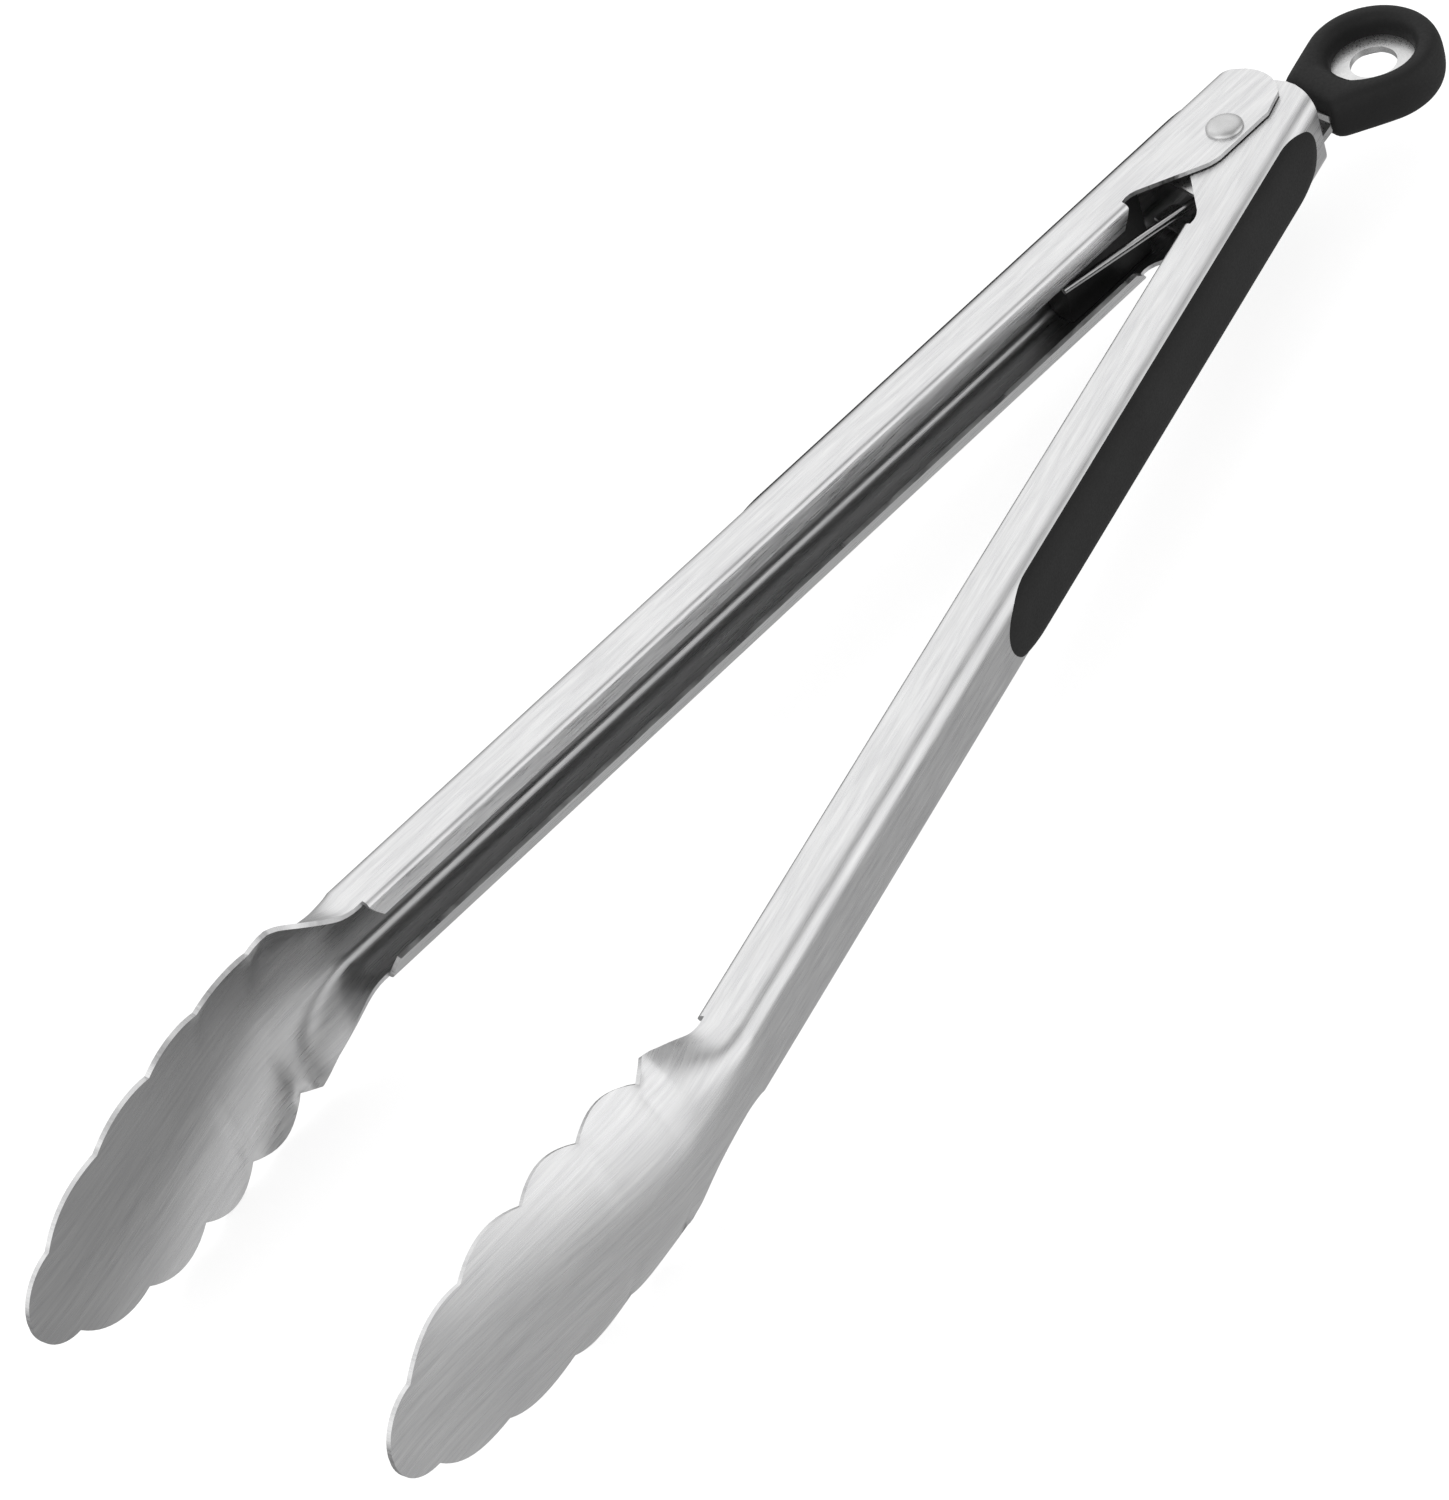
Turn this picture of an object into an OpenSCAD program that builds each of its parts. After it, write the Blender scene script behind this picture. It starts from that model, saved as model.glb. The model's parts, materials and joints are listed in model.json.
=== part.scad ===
// Spring-loaded kitchen tongs: two stamped channel arms with scalloped heads, riveted at one end.
// Frame: millimetres, +Z up along the rivet, heads towards -X, hanging ring towards +X.
// The outer arm is on the +Y side, the inner arm on the -Y side, and the part is drawn open.

/* [Arms] */
// opening angle between the two arms at rest, degrees
open_angle = 16.2; // [13:0.1:18]
// thickness of the steel sheet
sheet_t = 0.8; // [0.6:0.05:1]
// width of the outer arm over its side walls
outer_w = 16.4; // [15.5:0.1:18]
// side play between the inner arm and the outer arm's ears, per side
side_play = 0.25; // [0.15:0.01:0.4]
// depth of the channel from its back to the lip bend
wall_d = 8.9; // [8:0.1:10]
// width of each inturned lip
lip_w = 3.3; // [2.5:0.1:4]
// outside radius of the channel's back corners
corner_r = 3; // [2:0.1:3.5]
// distance from the rivet to the back of each arm
rivet_back = 11.4; // [11:0.1:12]
// depth of the ears, from the arm's back
ear_d = 15.3; // [14.5:0.1:16]

/* [Heads] */
// distance from the rivet to the tip of a head
reach = 291.4; // [285:0.1:300]
// bulge of each scallop beyond the line of its cusps
scallop = 2.3; // [1.5:0.1:3]
// how far the sheet dishes at the root of the head
dish = 5; // [3:0.1:6]

/* [Grips] */
// how far a grip stands proud of the arm's back
grip_t = 0.7; // [0.4:0.05:1.2]
// distance from the rivet to the far end of a grip
grip_end = 114.5; // [100:0.5:125]

/* [Pivot] */
// radius of the rivet's shank
rivet_r = 2.3; // [2:0.05:2.6]
// radius of the rivet's domed heads
rivet_head_r = 3.2; // [2.8:0.1:3.8]
// diameter of the spring wire
wire_d = 1.4; // [1:0.1:1.8]
// mean radius of the spring's coil
coil_r = 5; // [4.6:0.1:5.6]

/* [Pull tab] */
// angle of the pull tab from the bisector at rest, degrees
tab_angle = 16.8; // [10:0.1:18]
// distance from the rivet to the centre of the hanging eye
eye_x = 31.5; // [29:0.1:34]
// radius of the hanging hole in the steel eye
eye_hole_r = 4; // [3:0.1:4.5]
// outside radius of the soft ring
ring_r = 11.8; // [11:0.1:13]
// radius of the ring's opening
ring_open_r = 7.1; // [6.5:0.1:8]
// travel of the tab from pushed in to pulled out
tab_travel = 8; // [4:0.5:8]

/* [Hidden] */

// offset that puts the frame's origin under the middle of the bounding box
origin_shift = [123.73, 0, 18.5];

inner_w = outer_w - 2 * sheet_t - 2 * side_play;
half_angle = open_angle / 2;
inner_r = corner_r - sheet_t;
running_gap = 0.06;
hole_r = rivet_r + running_gap;
channel_start = 22.5;
channel_end = 205;
neck_start = 208.5;
neck_end = 222.5;
wall_top = wall_d - 0.9;
lip_r = 1.2;
lip_turn = 73;
arc_steps = 4;
flat_steps = 3;
wall_steps = 4;
mid_corner = arc_steps / 2;

steel = [0.76, 0.77, 0.78];
black = [0.05, 0.05, 0.05];
spring_steel = [0.55, 0.56, 0.58];

// ---- lists and curves ----
function reverse(list) = [for (i = [len(list) - 1 : -1 : 0]) list[i]];
function flip(list) = [for (p = list) [p[0], -p[1]]];
function mix(a, b, f) = a + (b - a) * f;
function clamp01(f) = min(1, max(0, f));

// ---- channel section, as [depth, width] points from the middle of the back to the wall's top ----
function corner_arc(w, r) = [
  for (i = [1 : arc_steps])
    let (a = 90 * i / arc_steps)
    [corner_r - r * cos(a), w / 2 - corner_r + r * sin(a)]
];
function half_section(w, r) =
  let (back = corner_r - r, side = w / 2 - corner_r + r, flat = w / 2 - corner_r)
  concat(
    [for (i = [0 : flat_steps]) [back, flat * i / flat_steps]],
    corner_arc(w, r),
    [for (i = [1 : wall_steps]) [mix(corner_r, wall_top, i / wall_steps), side]]
  );

// the lip's bend and straight, continued from the wall's top
function lip_arc(w, r) = [
  for (i = [0 : arc_steps])
    let (a = lip_turn * i / arc_steps)
    [wall_top + 0.2 + r * sin(a), w / 2 - lip_r + r * cos(a)]
];
lip_straight = (lip_w - lip_r * (1 - cos(lip_turn))) / sin(lip_turn);
function lip_end(p) = p + lip_straight * [cos(lip_turn), -sin(lip_turn)];
function lip_path(w, r) =
  let (arc = lip_arc(w, r))
  concat(arc, [lip_end(arc[arc_steps])]);

function c_section(w) =
  let (
    outer = concat(half_section(w, corner_r), lip_path(w, lip_r)),
    inner = concat(half_section(w, inner_r), lip_path(w, lip_r - sheet_t))
  )
  concat(outer, reverse(inner), flip(inner), reverse(flip(outer)));

function u_section(w) = [
  [0, 0], each half_section(w, corner_r), [ear_d + 1, w / 2],
  [ear_d + 1, w / 2 - sheet_t], each reverse(half_section(w, inner_r)),
  each flip(half_section(w, inner_r)), [ear_d + 1, sheet_t - w / 2],
  [ear_d + 1, -w / 2], each reverse(flip(half_section(w, corner_r)))
];

// ---- head: cusp line, scalloped outline and dished surface ----
// cusps as [distance from the rivet, half width]
cusps = [[226.7, 15.2], [240.6, 16.3], [253.8, 16.1], [268.6, 14.5], [283.5, 8.5]];
shoulder = [222.8, 17.3];
tip_half = cusps[4][1];
tip_sag = reach - cusps[4][0];
tip_r = (tip_half * tip_half + tip_sag * tip_sag) / (2 * tip_sag);
tip_start = asin((cusps[4][0] - (reach - tip_r)) / tip_r);
lobe_steps = 6;
tip_steps = 8;

// along the head: depth of its edge, depth of its middle line, half width of the cusp line
edge_depth = [
  [205, 8], [209, 6.6], [218, 5.5], [222, 5.6], [226.7, 6], [240.6, 8.9], [253.8, 11.7],
  [268.6, 14.7], [283.5, 17.1], [295, 18.6]
];
middle_rise = [
  [205, 0], [211, 0], [219, 0.25], [226.7, 1], [233, 2.3], [240.6, 4.4], [253.8, 8.6],
  [268.6, 13], [283.5, 16.9], [295, 18.6]
];
cusp_width = [
  [205, 15.2], [226.7, 15.2], [240.6, 16.3], [253.8, 16.1], [268.6, 14.5], [283.5, 11], [295, 8]
];

function middle_depth(s) =
  let (e = lookup(s, edge_depth))
  e - (e - lookup(s, middle_rise)) * dish / 5;
function dish_depth(s, z) =
  let (e = lookup(s, edge_depth), m = middle_depth(s))
  m + (e - m) * pow(z / lookup(s, cusp_width), 1.8);
function dish_normal(s, z) =
  let (e = 0.2, low = max(0, z - e), g = (dish_depth(s, z + e) - dish_depth(s, low)) / (z + e - low))
  [1, -g] / norm([1, g]);

function lobe_point(a, b, f) =
  let (d = b - a, n = [-d[1], d[0]] / norm(d))
  mix(a, b, f) + n * scallop * 4 * f * (1 - f);
function tip_point(f) =
  let (a = mix(tip_start, 80, f))
  [reach - tip_r + tip_r * sin(a), tip_r * cos(a)];

// stations along the head, as [distance from the rivet, half width, opening from channel to dish]
function opening(s) = clamp01((s - neck_start) / (neck_end - neck_start));
stations = concat(
  [for (s = [channel_end, neck_start, 211, 213.5, 216, 219]) [s, shoulder[1], opening(s)]],
  [[shoulder[0], shoulder[1], 1]],
  [
    for (k = [0 : 3])
      for (i = [0 : lobe_steps - 1])
        [each lobe_point(cusps[k], cusps[k + 1], i / lobe_steps), 1]
  ],
  [for (i = [0 : tip_steps]) [each tip_point(i / tip_steps), 1]]
);

// one ring of points around the sheet at a station, blended from the channel to the dish
half_count = flat_steps + arc_steps + wall_steps;
function sum_to(list, n) = n < 0 ? 0 : list[n] + sum_to(list, n - 1);
function shares(w) =
  let (p = half_section(w, corner_r), q = [for (i = [1 : half_count]) norm(p[i] - p[i - 1])])
  [for (j = [0 : half_count]) sum_to(q, j - 1) / sum_to(q, half_count - 1)];
function head_half(channel, share, st, lift) = [
  for (j = [0 : half_count])
    let (s = st[0], z = st[1] * share[j], pad = [dish_depth(s, z), z] + dish_normal(s, z) * lift)
    mix(channel[j], pad, st[2])
];
function ring(o, i) = concat(
  o, reverse(i), [for (k = [1 : half_count]) [i[k][0], -i[k][1]]],
  [for (k = [half_count : -1 : 1]) [o[k][0], -o[k][1]]]
);

module head(w) {
  n = 4 * half_count + 2;
  last = (len(stations) - 1) * n;
  share = shares(w);
  outside = half_section(w, corner_r);
  inside = half_section(w, inner_r);
  points = [
    for (st = stations)
      for (p = ring(head_half(outside, share, st, 0), head_half(inside, share, st, sheet_t)))
        [st[0], p[0], p[1]]
  ];
  sides = [
    for (k = [0 : n : last - 1])
      for (j = [0 : n - 1])
        let (a = k + j, b = k + (j + 1) % n)
        each [[a, b, b + n], [a, b + n, a + n]]
  ];
  start_cap = [
    for (j = [0 : half_count - 1])
      let (i0 = 2 * half_count + 1 - j, i1 = 2 * half_count + 1 + j, o0 = (n - j) % n, o1 = n - j - 1)
      each [[j, i0, j + 1], [j + 1, i0, i0 - 1], [o0, o1, i1], [o1, i1 + 1, i1]]
  ];
  end_cap = [for (f = start_cap) [f[2] + last, f[1] + last, f[0] + last]];
  polyhedron(points, concat(sides, start_cap, end_cap));
}

// ---- placing: an arm is drawn with x from the rivet to the tip and y from its back inwards ----
module along_arm() {
  rotate([90, 0, 90]) children();
}
module place_outer() {
  translate(origin_shift) rotate([0, 0, 180 - half_angle]) translate([0, -rivet_back, 0]) children();
}
module place_inner() {
  translate(origin_shift) mirror([0, 1, 0]) rotate([0, 0, 180 - half_angle])
    translate([0, -rivet_back, 0]) children();
}
module place_pivot() {
  translate(origin_shift) children();
}
module place_tab() {
  translate(origin_shift) rotate([0, 0, -tab_angle]) children();
}

// ---- arm ----
ear_r = ear_d / 2;
ear_x = -6.5;
ear_outline = concat(
  [[channel_start, 0], [-10.6, 0]],
  [for (a = [218 : -8 : 90]) [ear_x + ear_r * cos(a), ear_r + ear_r * sin(a)]],
  [[6.2, ear_d], [8.3, ear_d - 0.6], [19.4, wall_top + 0.1], [20.9, wall_top - 0.3], [channel_start, wall_top]]
);

module ears(w) {
  difference() {
    intersection() {
      translate([-20, 0, 0]) along_arm() linear_extrude(20 + channel_start) polygon(u_section(w));
      translate([0, 0, -w]) linear_extrude(2 * w) polygon(ear_outline);
    }
    translate([0, rivet_back, -w]) cylinder(h = 2 * w, r = hole_r, $fn = 48);
  }
}
module lip_cut(w, s, run) {
  edge = w / 2;
  for (m = [0, 1])
    mirror([0, 0, m])
      translate([0, wall_d + 3, 0]) rotate([90, 0, 0]) linear_extrude(3.6)
        polygon([[s - sign(run), edge - 1.2], [s, edge - 1.2], [s + run, edge - 6], [s - sign(run), edge - 6]]);
}
module channel(w) {
  difference() {
    translate([channel_start, 0, 0]) along_arm() linear_extrude(channel_end - channel_start)
      polygon(c_section(w));
    lip_cut(w, channel_start, 6);
    lip_cut(w, channel_end, -4);
  }
}
module arm(w) {
  ears(w);
  channel(w);
  head(w);
}
module outer_arm() {
  color(steel) place_outer() arm(outer_w);
}
module inner_arm() {
  color(steel) place_inner() arm(inner_w);
}

// ---- grips: soft pads that wrap the back and half of each corner ----
grip_start = 2;
grip_round = 10;
function grip_half_w(w) = w / 2 - corner_r + (corner_r + grip_t) * sin(45);
function grip_section(w) =
  let (
    flat = w / 2 - corner_r,
    r = corner_r + grip_t,
    outer = concat(
      [[-grip_t, 0], [-grip_t, flat]],
      [for (i = [1 : mid_corner]) let (a = 90 * i / arc_steps) [corner_r - r * cos(a), flat + r * sin(a)]]
    ),
    inner = [for (i = [0 : flat_steps + mid_corner]) half_section(w, corner_r)[i]]
  )
  concat(outer, reverse(inner), flip(inner), reverse(flip(outer)));
function grip_outline(w) = concat(
  [for (a = [-90 : 10 : 90]) [grip_end - grip_round * (1 - cos(a)), grip_half_w(w) * sin(a)]],
  [for (a = [90 : 10 : 270]) [grip_start + grip_round * cos(a), grip_half_w(w) * sin(a)]]
);
module grip(w) {
  intersection() {
    translate([-20, 0, 0]) along_arm() linear_extrude(grip_end + 40) polygon(grip_section(w));
    translate([0, 10, 0]) rotate([90, 0, 0]) linear_extrude(20) polygon(grip_outline(w));
  }
}
module outer_grip() {
  color(black) place_outer() grip(outer_w);
}
module inner_grip() {
  color(black) place_inner() grip(inner_w);
}

// ---- pivot: rivet with two domed heads, nylon bush, torsion spring ----
rivet_dome = 1.3;
dome_r = (rivet_head_r * rivet_head_r + rivet_dome * rivet_dome) / (2 * rivet_dome);
bush_h = 9.6;
bush_r = coil_r - wire_d / 2 - 0.3;

module rivet_head() {
  translate([0, 0, outer_w / 2]) intersection() {
    translate([0, 0, rivet_dome - dome_r]) sphere(r = dome_r, $fn = 64);
    cylinder(h = rivet_dome + 1, r = rivet_head_r, $fn = 64);
  }
}
module hinge_rivet() {
  color(steel) place_pivot() {
    cylinder(h = outer_w, r = rivet_r, center = true, $fn = 48);
    rivet_head();
    mirror([0, 0, 1]) rivet_head();
  }
}
module pivot_bush() {
  color(black) place_pivot() difference() {
    union() {
      cylinder(h = bush_h, r = bush_r, center = true, $fn = 48);
      for (m = [0, 1])
        mirror([0, 0, m]) translate([0, 0, bush_h / 2 - 0.6]) cylinder(h = 0.6, r = coil_r + 0.6, $fn = 48);
    }
    cylinder(h = bush_h + 2, r = hole_r, center = true, $fn = 48);
  }
}

// ---- torsion spring: a coil with two legs, swept as rings of points along its path ----
leg_slope = 14.7;
leg_length = 38;
leg_dir = 180 - half_angle - leg_slope;
leg_steps = 12;
coil_turn = 4 * 360 + 180 - 2 * leg_dir;
coil_steps = 90;
coil_half_h = 3;
coil_start = 270 - leg_dir;
wire_sides = 9;
wire_twist = 13;
function polar(r, a) = [r * cos(a), r * sin(a)];
function coil_at(f) =
  let (a = coil_start - coil_turn * f)
  [each polar(coil_r, a), mix(-coil_half_h, coil_half_h, f), a];
// a point of the leg that leaves the coil at angle a; side is 1 forwards and -1 backwards along the coil
function leg_at(a, side, f) =
  [each (polar(coil_r, a) + polar(f * leg_length, a - side * 90)), side * mix(coil_half_h, 0.6, f), a];
spring_path = concat(
  [for (i = [leg_steps : -1 : 1]) leg_at(coil_start, -1, i / leg_steps)],
  [for (i = [0 : coil_steps]) coil_at(i / coil_steps)],
  [for (i = [1 : leg_steps]) leg_at(coil_start - coil_turn, 1, i / leg_steps)]
);
module torsion_spring() {
  points = [
    for (p = spring_path)
      for (k = [0 : wire_sides - 1])
        let (a = 360 * k / wire_sides + wire_twist, side = polar(wire_d / 2 * cos(a), p[3]))
        [p[0] + side[0], p[1] + side[1], p[2] + wire_d / 2 * sin(a)]
  ];
  last = (len(spring_path) - 1) * wire_sides;
  sides = [
    for (k = [0 : wire_sides : last - 1])
      for (j = [0 : wire_sides - 1])
        let (a = k + j, b = k + (j + 1) % wire_sides)
        each [[a, b, b + wire_sides], [a, b + wire_sides, a + wire_sides]]
  ];
  caps = [[for (j = [wire_sides - 1 : -1 : 0]) j], [for (j = [0 : wire_sides - 1]) j + last]];
  color(spring_steel) place_pivot() polyhedron(points, concat(sides, caps));
}

// ---- spring seats: moulded blocks in the channels that the spring's legs press on ----
seat_start = 17;
seat_end = 37;
seat_top = 5.9;
module spring_seat(w) {
  side = w / 2 - sheet_t - 0.1;
  translate([seat_start, 0, 0]) along_arm() linear_extrude(seat_end - seat_start) polygon([
    [sheet_t, inner_r - side], [corner_r, -side], [seat_top, -side],
    [seat_top, side], [corner_r, side], [sheet_t, side - inner_r]
  ]);
}
module outer_spring_seat() {
  color(black) place_outer() spring_seat(outer_w);
}
module inner_spring_seat() {
  color(black) place_inner() spring_seat(inner_w);
}

// ---- pull tab: a strip folded at the eye, with two legs that straddle the spring ----
leg_z = inner_w / 2 - sheet_t - 0.3;
tab_t = 0.6;
tab_in = 13;
leg_out = 12.5;
eye_start = 17.7;
plate_r = ring_open_r + 2;
tab_side = [
  [-tab_in, leg_z], [leg_out, leg_z], [eye_start, tab_t], [eye_x + 20, tab_t],
  [eye_x + 20, -tab_t], [eye_start, -tab_t], [leg_out, -leg_z], [-tab_in, -leg_z],
  [-tab_in, tab_t - leg_z], [leg_out - 0.4, tab_t - leg_z], [eye_start - 0.8, 0],
  [leg_out - 0.4, leg_z - tab_t], [-tab_in, leg_z - tab_t]
];
tab_half_plan = [
  [-tab_in, 7], [-tab_in + 4, 7], [-tab_in + 5.5, 5.4], [1, 5.4], [5, 3.7], [13.2, 3.7],
  [15.4, 4.8], [16.6, 5.4], [eye_start, 5.4], [eye_x, 5.4]
];
module slot(h) {
  translate([-tab_travel / 2, 0, 0]) cube([tab_travel, 2 * hole_r, h], center = true);
  for (x = [-tab_travel, 0])
    translate([x, 0, 0]) cylinder(h = h, r = hole_r, center = true, $fn = 48);
}
module pull_tab_shape() {
  difference() {
    intersection() {
      rotate([90, 0, 0]) linear_extrude(40, center = true) polygon(tab_side);
      union() {
        linear_extrude(30, center = true) polygon(concat(tab_half_plan, reverse(flip(tab_half_plan))));
        translate([eye_x, 0, 0]) cylinder(h = 30, r = plate_r, center = true, $fn = 64);
      }
    }
    translate([eye_x, 0, 0]) cylinder(h = 10, r = eye_hole_r, center = true, $fn = 48);
    slot(20);
  }
}
module pull_tab() {
  color(steel) place_tab() pull_tab_shape();
}

// ---- pull ring: soft teardrop moulded around the eye ----
ring_half_h = 4.3;
ring_mid_r = (ring_r + ring_open_r) / 2;
ring_edge_r = (ring_r - ring_open_r) / 2;
neck_x = 16.8;
neck_half_w = 6.4;
module ring_section() {
  translate([ring_open_r, ring_edge_r - ring_half_h]) square([2 * ring_edge_r, 2 * (ring_half_h - ring_edge_r)]);
  for (z = [ring_edge_r - ring_half_h, ring_half_h - ring_edge_r])
    translate([ring_mid_r, z]) circle(r = ring_edge_r, $fn = 48);
}
module ring_neck() {
  tangent = acos((ring_mid_r - neck_half_w) / (eye_x - neck_x)) + 12;
  far = [eye_x - ring_mid_r * cos(tangent), ring_mid_r * sin(tangent)];
  difference() {
    linear_extrude(2 * ring_half_h, center = true)
      polygon([[neck_x, -neck_half_w], [neck_x, neck_half_w], [far[0], far[1]], [far[0], -far[1]]]);
    translate([eye_x, 0, 0]) cylinder(h = 20, r = ring_mid_r, center = true, $fn = 64);
  }
}
module pull_ring() {
  color(black) place_tab() difference() {
    union() {
      translate([eye_x, 0, 0]) rotate_extrude($fn = 96) ring_section();
      ring_neck();
    }
    pull_tab_shape();
  }
}

outer_arm();
inner_arm();
outer_grip();
inner_grip();
hinge_rivet();
pivot_bush();
torsion_spring();
outer_spring_seat();
inner_spring_seat();
pull_tab();
pull_ring();
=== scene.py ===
"""Spring-loaded kitchen tongs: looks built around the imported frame."""
import math

import bpy
import bmesh
from mathutils import Matrix, Vector
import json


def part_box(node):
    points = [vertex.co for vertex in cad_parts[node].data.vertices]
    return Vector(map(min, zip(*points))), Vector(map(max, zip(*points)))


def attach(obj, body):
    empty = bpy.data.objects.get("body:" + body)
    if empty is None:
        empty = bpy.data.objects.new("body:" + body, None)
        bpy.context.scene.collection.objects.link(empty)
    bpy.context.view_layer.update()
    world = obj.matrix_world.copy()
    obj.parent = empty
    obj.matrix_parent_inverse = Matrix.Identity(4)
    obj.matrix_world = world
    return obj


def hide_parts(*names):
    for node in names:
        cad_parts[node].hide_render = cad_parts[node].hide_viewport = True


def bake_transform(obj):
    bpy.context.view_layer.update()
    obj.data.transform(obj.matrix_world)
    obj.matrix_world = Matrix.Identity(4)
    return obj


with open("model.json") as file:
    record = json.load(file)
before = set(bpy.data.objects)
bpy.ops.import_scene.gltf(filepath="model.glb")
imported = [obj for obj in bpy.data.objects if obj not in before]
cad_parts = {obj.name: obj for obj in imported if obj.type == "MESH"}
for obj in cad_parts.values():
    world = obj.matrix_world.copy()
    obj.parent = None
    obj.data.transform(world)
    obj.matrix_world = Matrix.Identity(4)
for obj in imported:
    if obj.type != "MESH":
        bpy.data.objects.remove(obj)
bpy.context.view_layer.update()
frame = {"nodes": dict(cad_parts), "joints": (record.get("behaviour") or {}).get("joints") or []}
nodes = frame["nodes"]
joints = {joint["name"]: joint for joint in frame["joints"]}

MM = 0.001

# ---- places, from the frame ----
PIVOT = Vector(joints["arm_hinge"]["pos_m"])
TAB_AXIS = Vector(joints["tab_slide"]["axis"])


def node_width(name):
    low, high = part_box(name)
    return (high.z - low.z) / MM


# ---- the pressings, in mm; s runs from the rivet to the tip, u from the back inwards, z across ----
HALF_OPEN = math.radians(8.1)
RIVET_BACK = 11.4
SHEET = 0.8
CORNER_R = 3.0
OUTER_W = node_width("outer_spring_seat") + 2 * (SHEET + 0.1)
INNER_W = node_width("inner_spring_seat") + 2 * (SHEET + 0.1)
WALL_TOP = 8.0
LIP_R = 1.2
LIP_TURN = math.radians(73)
LIP_W = 3.3
CHANNEL = (22.5, 205.0)
NECK = (208.5, 222.5)
NECK_SOFT = 2.5
REACH = 291.4
SCALLOP = 2.3
CUSPS = [(226.7, 15.2), (240.6, 16.3), (253.8, 16.1), (268.6, 14.5), (283.5, 8.5)]
SHOULDER = (222.8, 17.3)
EDGE_DEPTH = [
    (205, 8), (209, 6.6), (218, 5.5), (222, 5.6), (226.7, 6), (240.6, 8.9),
    (253.8, 11.7), (268.6, 14.7), (283.5, 17.1), (295, 18.6),
]
MIDDLE_DEPTH = [
    (205, 0), (211, 0), (219, 0.25), (226.7, 1), (233, 2.3), (240.6, 4.4),
    (253.8, 8.6), (268.6, 13), (283.5, 16.9), (295, 18.6),
]
CUSP_WIDTH = [
    (205, 15.2), (226.7, 15.2), (240.6, 16.3), (253.8, 16.1), (268.6, 14.5), (283.5, 11), (295, 8),
]
EAR_R = 7.65
EAR_X = -6.5
EAR_BACK = -10.6
EAR_FOOT = math.radians(218)
EAR_TOP = [(-6.5, 15.3), (6.2, 15.3), (8.3, 14.7), (19.4, 8.1), (20.9, 7.7), (22.5, 8.0)]
LIP_SLANT_Z = 4.8
LIP_SLANT_BACK = 6
LIP_SLANT_FRONT = 4
TIP_TURN = math.radians(84)
DISH_POWER = 1.8
EDGE_ROUND = 0.14

FLAT_STEPS, CORNER_STEPS, WALL_STEPS, LIP_STEPS = 7, 8, 7, 6
EAR_ROWS, CHANNEL_ROWS, SHOULDER_ROWS, LOBE_ROWS, TIP_ROWS = 26, 62, 17, 12, 14

# evening out of the neck: rounds, strength, and where along the arm it comes in and fades away
EASE_ROUNDS = 30
EASE_PULL = 0.5
EASE_IN = 6
EASE_END, EASE_FADE = 250, 26


def mix(a, b, f):
    return a + (b - a) * f


def clamp01(f):
    return min(1.0, max(0.0, f))


def line_through(table, x):
    """The table's value at x along straight lines."""
    for (x0, y0), (x1, y1) in zip(table, table[1:]):
        if x <= x1:
            return mix(y0, y1, clamp01((x - x0) / (x1 - x0)))
    return table[-1][1]


def curve_through(table, x):
    """The table's value at x along a smooth curve."""
    x = min(max(x, table[0][0]), table[-1][0])
    k = max(i for i in range(len(table) - 1) if table[i][0] <= x)

    def slope(i):
        a, b = max(i - 1, 0), min(i + 1, len(table) - 1)
        return (table[b][1] - table[a][1]) / (table[b][0] - table[a][0])

    (x0, y0), (x1, y1) = table[k], table[k + 1]
    h = x1 - x0
    t = (x - x0) / h
    rise = (2 * t**3 - 3 * t**2 + 1) * y0 + (3 * t**2 - 2 * t**3) * y1
    return rise + h * ((t**3 - 2 * t**2 + t) * slope(k) + (t**3 - t**2) * slope(k + 1))


def opening(s):
    """How far the section has opened from the channel to the dish, with its ends eased."""
    start, end = NECK

    def area(x):
        if x < start:
            return 0.0
        if x < end:
            return (x - start) ** 2 / (2 * (end - start))
        return (x - end) + (end - start) / 2

    return (area(s + NECK_SOFT) - area(s - NECK_SOFT)) / (2 * NECK_SOFT)


def half_section(w):
    """Outside of the channel from the middle of the back to the wall's top, as (u, z)."""
    flat = w / 2 - CORNER_R
    back = [(0, flat * i / FLAT_STEPS) for i in range(FLAT_STEPS + 1)]
    corner = []
    for i in range(1, CORNER_STEPS + 1):
        a = math.pi / 2 * i / CORNER_STEPS
        corner.append((CORNER_R - CORNER_R * math.cos(a), flat + CORNER_R * math.sin(a)))
    wall = [(mix(CORNER_R, WALL_TOP, i / WALL_STEPS), w / 2) for i in range(1, WALL_STEPS + 1)]
    return back + corner + wall


def lip_section(w):
    """Outside of the lip past the wall's top, as (u, z)."""
    arc = []
    for i in range(1, LIP_STEPS + 1):
        a = LIP_TURN * i / LIP_STEPS
        arc.append((WALL_TOP + 0.2 + LIP_R * math.sin(a), w / 2 - LIP_R + LIP_R * math.cos(a)))
    straight = (LIP_W - LIP_R * (1 - math.cos(LIP_TURN))) / math.sin(LIP_TURN)
    u, z = arc[-1]
    end = [
        (u + straight * f * math.cos(LIP_TURN), z - straight * f * math.sin(LIP_TURN))
        for f in (0.5, 1.0)
    ]
    return arc + end


def dish_depth(s, z):
    """Depth of the head's outside at s and at z across."""
    edge, middle = curve_through(EDGE_DEPTH, s), curve_through(MIDDLE_DEPTH, s)
    return middle + (edge - middle) * (abs(z) / curve_through(CUSP_WIDTH, s)) ** DISH_POWER


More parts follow.
